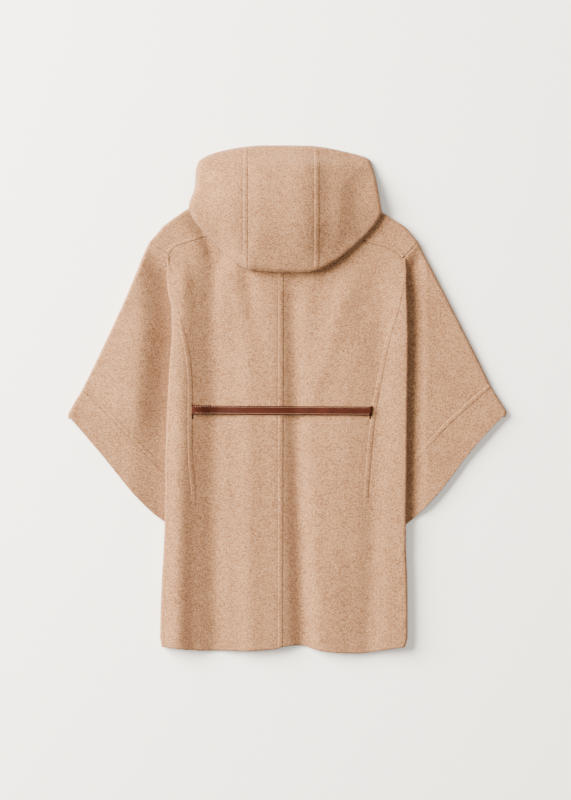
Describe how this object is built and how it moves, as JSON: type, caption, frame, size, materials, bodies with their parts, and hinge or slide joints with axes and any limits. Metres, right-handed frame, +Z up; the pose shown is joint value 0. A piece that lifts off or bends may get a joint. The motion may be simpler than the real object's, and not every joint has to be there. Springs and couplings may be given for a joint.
{
  "type": "wool cape",
  "caption": "Hooded wool cape with wide short sleeves and a slim leather belt through slits at the back waist, laid flat back side up",
  "frame": {"origin": "centre of the footprint on the surface the cape is laid on", "axes": "+X to the wearer's right, +Y from the hem to the hood, +Z up from the surface, out of the back of the cape"},
  "size_m": [0.9197, 1.0657, 0.0742],
  "materials": {
    "wool": "brushed double-faced camel wool, soft fibre nap with a fine melange",
    "leather": "smooth reddish brown leather with burnished edges and pale stitching"
  },
  "bodies": {
    "root": {"back_left": "wool", "yoke_left": "wool", "sleeve_left": "wool", "cuff_left": "wool", "front_left": "wool", "back_right": "wool", "yoke_right": "wool", "sleeve_right": "wool", "cuff_right": "wool", "front_right": "wool", "hood_left": "wool", "hood_center": "wool", "hood_right": "wool", "hood_under": "wool", "belt": "leather"}
  },
  "joints": []
}
